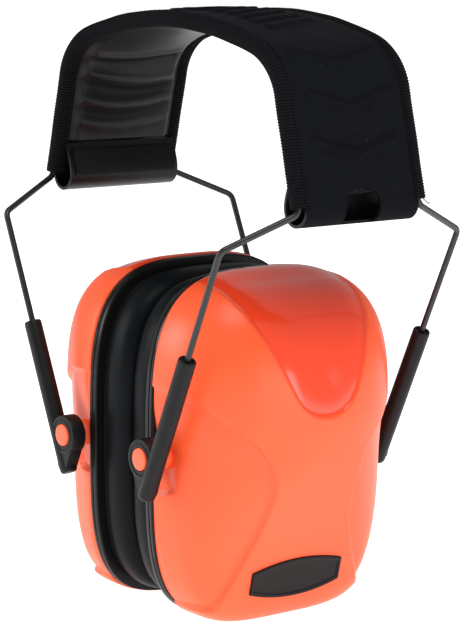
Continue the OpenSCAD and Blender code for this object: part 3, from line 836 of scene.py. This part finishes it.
def shell_relief(p):
    """How deep the moulded steps lie below the plain skin, and how far a point is in the glossy dish."""
    x, y, z = p[..., 0], np.abs(p[..., 1]), p[..., 2]
    inside = (y < across_at(z, TONGUE)) & (z > TONGUE[-1][1])
    dish = np.where(inside, 1, -1) * distance_to(y, z, TONGUE)
    dish_deep = 0.85 * smooth((dish + 0.5) / 1.1) + 1.1 * smooth(dish / 17) ** 1.2
    crest = smooth((x - RIM_X - 1.5) / 11)
    girth = y + RIM_X + bulge_at(z) - x
    below = (girth > across_at(z, SHOULDER)) & (z < SHOULDER_TOP)
    cheek = np.where(below, 1, -1) * distance_to(girth, z, SHOULDER)
    soft = 0.95 + 0.35 * smooth((56 - z) / 16)
    cheek_deep = smooth((cheek + 0.3) / soft) * (0.8 + 0.75 * smooth((x - RIM_X - 0.5) / 9))
    cheek_deep *= smooth((z - 5.6) / 0.9)
    fade = 3.5 + 6.0 * smooth((z - 42) / 14)
    pocket = smooth((across_at(z, POCKET) - x) / fade)
    pocket *= smooth(z - POCKET_FOOT - 1.3 * smooth((x - 21) / 4))
    pocket *= smooth((y - 22) / 8) * smooth((70 - z) / 14) * smooth((cheek + 0.2) / 1.6)
    return cheek_deep + 1.3 * pocket + crest * dish_deep, smooth((dish + 0.4) / 0.8)


SHELL_ROWS, SHELL_ROWS_IN = 121, 29
SHELL_WALL, LIP = 3.0, 0.35


def make_shell(side):
    """Cup shell with its moulded steps, as one closed skin."""
    rho = np.cos(np.pi / 2 * np.arange(SHELL_ROWS) / SHELL_ROWS)
    outer = shell_grid(rho, 0)
    down = np.gradient(outer, axis=0)
    along = (np.roll(outer, -1, 1) - np.roll(outer, 1, 1)) / 2
    normal = np.cross(down, along)
    normal /= np.maximum(np.linalg.norm(normal, axis=-1, keepdims=True), 1e-9)
    normal *= np.sign((normal * (outer - (RIM_X, 0, CUP_MID))).sum(-1, keepdims=True) + 1e-12)
    depth, dish = shell_relief(outer)
    outer = outer - normal * depth[..., None]
    outer[..., 0] = np.maximum(outer[..., 0], RIM_X)
    outer[..., 2] = np.maximum(outer[..., 2], 0)
    lip = shell_grid([1], LIP)[0] - normal[0] * depth[0][:, None]
    lip[:, 0] = RIM_X
    outer[0, :, 0] = RIM_X + LIP
    inner = shell_grid(np.cos(np.pi / 2 * np.arange(SHELL_ROWS_IN) / SHELL_ROWS_IN), SHELL_WALL)
    inner[0, :, 0] = RIM_X
    rings = np.concatenate([outer[::-1], [lip], inner])
    marks = np.concatenate([dish[::-1], [dish[0]], np.zeros(inner.shape[:2])])
    b = Build("shell_plastic")
    b.loft(rings, dish=marks)
    return b.make(f"{side}_shell", SIDES[side], 70)


def rim_loft(build, profile, closed=True, wander=None, turned=False):
    """Skin through (x, inset) stations round the cup's outline; a third number shrinks one to the middle."""
    rings = []
    for x, inset, *share in profile:
        y, z = outline(ANGLES, inset)
        rho = share[0] if share else 1
        rings.append(np.stack([np.full(AROUND, x), rho * y, CUP_MID + rho * (z - CUP_MID)], -1))
    rings = np.stack(rings)
    if wander is not None:
        rings = rings + wander(rings)
    build.loft(rings[:, ::-1] if turned else rings, closed=closed)


def lip_clear(rings):
    """Notches the plate's lip and edge round the pins."""
    notch_half, notch_x = 3.9, 16.9
    move = np.zeros(rings.shape)
    near = np.abs(rings[..., 2] - PIVOT[2]) < notch_half
    move[..., 0] = np.where(near & (rings[..., 0] > notch_x), notch_x - rings[..., 0], 0)
    return move


def make_plate(side):
    """Rigid rim between shell and cushion, with a groove round its edge and a lip inside the shell."""
    b = Build("plate_plastic")
    profile = [(16.42, 0.75), (16.2, 0.45), (15.9, 0.4), (15.15, 0.4), (14.98, 0.5), (14.9, 0.8),
               (14.72, 0.8), (14.64, 0.5), (14.5, 0.4), (13.45, 0.4), (13.2, 0.48), (13.04, 0.7),
               (13.0, 1.0), (13.0, 8.0), (13.0, 14.6), (13.12, 14.9), (13.4, 15.0), (16.1, 15.0),
               (16.4, 14.9), (16.5, 14.6), (16.5, 4.5), (16.6, 4.3), (19.2, 4.3), (19.45, 4.15),
               (19.5, 3.9), (19.5, 3.1), (19.4, 2.8), (19.2, 2.7), (16.5, 2.7), (16.5, 1.0)]
    rim_loft(b, profile, wander=lip_clear, turned=True)
    return b.make(f"{side}_cushion_plate", SIDES[side])


# Cross section of the cushion's skin, outside and then inside, as X and distance from the outline
SKIN = [(12.95, 3.6), (12.7, 3.25), (12.35, 3.2), (12.1, 3.45), (11.9, 3.35), (11.2, 2.95), (10, 2.62),
        (8.4, 2.45), (6.6, 2.5), (4.8, 2.75), (3.3, 3.2), (2.1, 3.95), (1.2, 4.95), (0.65, 6.2),
        (0.42, 7.8), (0.36, 9.6), (0.42, 11.4), (0.75, 13.1), (1.5, 14.6), (2.8, 15.7), (4.6, 16.3),
        (7, 16.6), (10, 16.5), (12.2, 16.1), (12.95, 15.6)]
SKIN_IN = [(12.95, 14.7), (10, 15.5), (7, 15.6), (4.8, 15.3), (3.3, 14.8), (2.3, 13.9), (1.7, 12.7),
           (1.4, 11.2), (1.36, 9.6), (1.4, 8), (1.6, 6.6), (2.1, 5.6), (2.9, 4.8), (4, 4.2), (5.4, 3.8),
           (7, 3.55), (9, 3.6), (11, 4.0), (12.95, 4.6)]


def soft_dents(rings):
    """Slow dents in the pad's face, so that it looks stuffed."""
    y, z = rings[..., 1], rings[..., 2]
    dent = 0.10 * np.sin(0.19 * y + 1.3) * np.sin(0.16 * z) + 0.06 * np.sin(0.31 * z - 0.22 * y)
    move = np.zeros(rings.shape)
    move[..., 0] = smooth((9 - rings[..., 0]) / 6) * (dent + 0.16)
    return move


def make_cushion(side):
    """Hollow skin of the ear cushion."""
    b = Build("cushion_cover")
    rim_loft(b, SKIN + SKIN_IN, wander=soft_dents)
    return b.make(f"{side}_cushion_skin", SIDES[side])


def make_cushion_foam(side):
    """Foam ring inside the cushion's skin."""
    b = Build("foam")
    loop = [(12.9, 5.0), (10.9, 4.3), (8.8, 3.9), (7, 3.85), (5.5, 4.1), (4.2, 4.5), (3.2, 5.1), (2.4, 6),
            (2.0, 7.2), (1.9, 9.6), (2.0, 11.6), (2.5, 13), (3.5, 14), (5, 14.8), (8, 15.2), (10.5, 15.0),
            (12.9, 14.4)]
    rim_loft(b, loop)
    return b.make(f"{side}_cushion_foam", SIDES[side])


def make_liner(side):
    """Dished foam that fills the cup behind the plate."""
    b = Build("foam")
    profile = [(22.0, 16, 0.25), (22.0, 16, 0.55), (21.9, 16, 0.8), (21.3, 16, 0.93), (20.2, 16.0),
               (18.2, 15.8), (17.2, 15.4), (16.7, 14.6), (16.62, 12), (16.62, 9.4), (16.8, 8.6),
               (17.4, 8.1), (18.5, 8.0), (27.8, 8.0), (28.9, 8.3), (29.4, 9.2), (29.5, 11), (29.5, 12, 0.7),
               (29.5, 12, 0.3)]
    rim_loft(b, profile, closed=False)
    return b.make(f"{side}_liner_foam", SIDES[side])


def make_pins(side):
    """Front and rear pivot pins, each with a tapered collar between the shell and the arm."""
    b = Build("pin_plastic")
    profile = [(35.6, 3.0), (35.8, 3.3), (38.2, 3.35), (38.2, 3.9), (38.4, 3.95), (39.3, 3.9), (41.3, 3.6),
               (41.45, 3.5), (41.45, 3.35), (46.85, 3.35), (47.1, 3.28), (47.24, 3.1), (47.3, 2.85),
               (47.34, 1.6)]
    for end in ENDS.values():
        b.loft(lathe(profile, 72, PIVOT * (1, 0, 1), (0, end, 0), (1, 0, 0)))
    return b.make(f"{side}_pivot_pins", SIDES[side])


def spokes(angles, radius):
    return radius * np.stack([np.cos(angles), np.sin(angles)], -1)


def web_sections(hole_r):
    """Flat rings, with their distances from the middle, of the web that joins the eye to the tube's foot."""
    big, small, small_at = 5.55, 2.3, np.array([4.6, -8.1])
    lean = math.atan2(small_at[1], small_at[0])
    half = math.acos((big - small) / float(np.linalg.norm(small_at)))
    shape = np.concatenate([spokes(lean + np.linspace(half, 2 * np.pi - half, 40), big),
                            small_at + spokes(lean + np.linspace(-half, half, 20), small)])
    hole = spokes(np.arctan2(shape[:, 1], shape[:, 0]), hole_r)
    centre = shape.mean(0)
    face = [(-1.75, 1.02), (-2.1, 1.0), (-2.1, 0.92)]
    one_side = [(y, centre + (shape - centre) * scale) for y, scale in face] + [(-2.1, hole)]
    return one_side + [(-y, flat) for y, flat in one_side[::-1]]


def make_arm(side, end):
    """Sliding arm: tube with an open mouth, eye and web."""
    sign = ENDS[end]
    b = Build("arm_plastic")
    middle = PIVOT + (0, sign * ARM_Y, 0)
    foot = ARM_FOOT + (0, sign * ARM_Y, 0)
    tube = [(-11.0, 1.2), (-11.0, 2.0), (-10.85, 2.3), (-10.4, 2.55), (-9.9, 2.68), (-9.4, 2.7),
            (37.0, 2.7), (37.4, 2.66), (37.7, 2.52), (37.8, 2.3), (37.8, 2.0), (37.68, 1.84), (37.4, 1.8),
            (30, 1.8), (12, 1.8), (5.7, 1.8), (5.6, 1.6), (5.6, 0.8)]
    b.loft(lathe(tube, 56, foot, TILT_U, TILT_N))
    face, bore = 2.4, 3.43
    eye = [(-face + 0.25, bore), (-face, bore + 0.2), (-face, 4.3), (-face + 0.22, 4.5),
           (-face + 0.22, 4.85), (-face, 5.05), (-face, 5.6), (-face + 0.12, 5.88), (-face + 0.4, 6.0),
           (face - 0.4, 6.0), (face - 0.12, 5.88), (face, 5.6), (face, 5.05), (face - 0.22, 4.85),
           (face - 0.22, 4.5), (face, 4.3), (face, bore + 0.2), (face - 0.25, bore)]
    b.loft(lathe(eye, 72, middle, (0, 1, 0), (1, 0, 0)), closed=True)
    rings = np.stack([middle + flat[:, :1] * TILT_N + flat[:, 1:] * TILT_U + (0, sign * y, 0)
                      for y, flat in web_sections(bore + 0.4)])
    b.loft(rings if sign < 0 else rings[:, ::-1], closed=True)
    return b.make(f"{side}_{end}_arm", SIDES[side], 38)


def make_badge(side):
    """Plain barrel-shaped badge with a thin raised rim, bent to the shell's chin."""
    lean, half_wide, end_high, bow = math.radians(20.6), 17, 3.5, 2.6
    out = np.array([math.cos(lean), 0, -math.sin(lean)])
    up = np.array([math.sin(lean), 0, math.cos(lean)])
    t = np.linspace(-1, 1, 61)
    high = end_high + bow * (1 - t * t)
    top = np.stack([half_wide * t, high], -1)
    shape = np.concatenate([top, top[::-1] * (1, -1)])
    b = Build("badge_plastic")
    rings = []
    for inset, height in ((0, -0.9), (0, 0.5), (0.07, 0.68), (0.25, 0.78), (0.8, 0.78), (1.0, 0.7),
                          (1.08, 0.46), (1.3, 0.42), (2.4, 0.42), (3.6, 0.42)):
        flat = shape * (1 - inset / half_wide, 1)
        flat[:, 1] -= np.sign(shape[:, 1]) * inset
        ring = (RIM_X, 0, 20.85) + flat[:, :1] * (0, 1, 0) + flat[:, 1:] * up + 18.2 * out
        for _ in range(12):
            ring = ring + (skin_x(ring[:, 1], ring[:, 2]) - ring[:, 0])[:, None] * 0.8 * out
        rings.append(ring + height * out)
    b.loft(np.stack(rings)[:, ::-1])
    return b.make(f"{side}_badge", SIDES[side], 30)


def make_cups():
    """Both cups with their arms."""
    for side in SIDES:
        made = [
            (make_shell(side), f"shell_{side}", "shell_plastic"),
            (make_pins(side), f"pivot_pins_{side}", "pin_plastic"),
            (make_plate(side), f"cushion_plate_{side}", "plate_plastic"),
            (make_cushion(side), f"cushion_skin_{side}", "cushion_cover"),
            (make_cushion_foam(side), f"cushion_foam_{side}", "foam"),
            (make_liner(side), f"liner_foam_{side}", "foam"),
            (make_badge(side), f"badge_{side}", "badge_plastic"),
        ]
        for piece, node, slot in made:
            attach(piece, f"{side}_cup")
            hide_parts(node)
        for end in ENDS:
            arm = make_arm(side, end)
            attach(arm, f"{side}_arms")
            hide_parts(f"arm_{side}_{end}")


make_cups()


# ---------- CAD pieces shown as they are ----------

CAD_LOOKS = {"wire_stop": "stop_metal", "bush": "arm_plastic"}

for name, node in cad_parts.items():
    for start, look in CAD_LOOKS.items():
        if name.startswith(start):
            node.data.materials.clear()
            node.data.materials.append(LOOKS[look])
            node.data.set_sharp_from_angle(angle=math.radians(30))


# ---------- floor and light ----------

def make_floor():
    """Wide pale floor just under the cups."""
    floor, reach, top = Build(), 4000, -0.6
    corners = [(-reach, -reach, top), (reach, -reach, top), (reach, reach, top), (-reach, reach, top)]
    floor.add(corners, [(0, 1, 2, 3)])
    made = floor.make("floor")
    paint = Finish("floor_paint", Roughness=0.9, Specular_IOR_Level=0.1, Emission_Color=(1.0, 1.0, 1.0),
                   Emission_Strength=0.98)
    paint.feed("Base Color", paint.blend(paint.noise(2, 2), (0.93, 0.93, 0.93), (0.96, 0.96, 0.96)))
    made.data.materials.append(paint.material)


def make_light(name, place, aim, size, power):
    """Soft rectangular lamp at a place, turned towards a point."""
    lamp = bpy.data.lights.new(name, "AREA")
    lamp.shape, lamp.size, lamp.size_y = "RECTANGLE", *size
    lamp.energy = power
    made = bpy.data.objects.new(name, lamp)
    bpy.context.scene.collection.objects.link(made)
    made.location = place
    made.rotation_euler = (Vector(aim) - Vector(place)).to_track_quat("-Z", "Y").to_euler()


class Walls(Finish):
    """The studio's walls, whose shader is the world's background."""

    def __init__(self, name):
        self.world = bpy.data.worlds.new(name)
        self.world.use_nodes = True
        self.tree = self.world.node_tree
        self.shader = self.tree.nodes["Background"]


def make_walls(seen, lit):
    """Pale studio walls, which look brighter than the light they give."""
    w = Walls("studio")
    w.shader.inputs["Color"].default_value = (1, 1, 1, 1)
    to_camera = w.node("ShaderNodeLightPath", {}, {}, "Is Camera Ray")
    w.feed("Strength", w.node("ShaderNodeMapRange", {}, {"Value": to_camera, "To Min": lit, "To Max": seen}))
    bpy.context.scene.world = w.world


make_floor()
make_walls(seen=1.0, lit=0.36)
make_light("overhead", (0.25, -0.10, 0.75), (0.02, 0, 0.1), (0.55, 0.35), 3.0)
make_light("key", (-0.60, -0.82, 0.42), (0, 0, 0.08), (0.5, 0.4), 4.6)
make_light("fill", (0.92, 0.12, 0.06), (0, 0, 0.05), (0.7, 0.35), 2.4)
bpy.context.scene.view_settings.view_transform = "Standard"
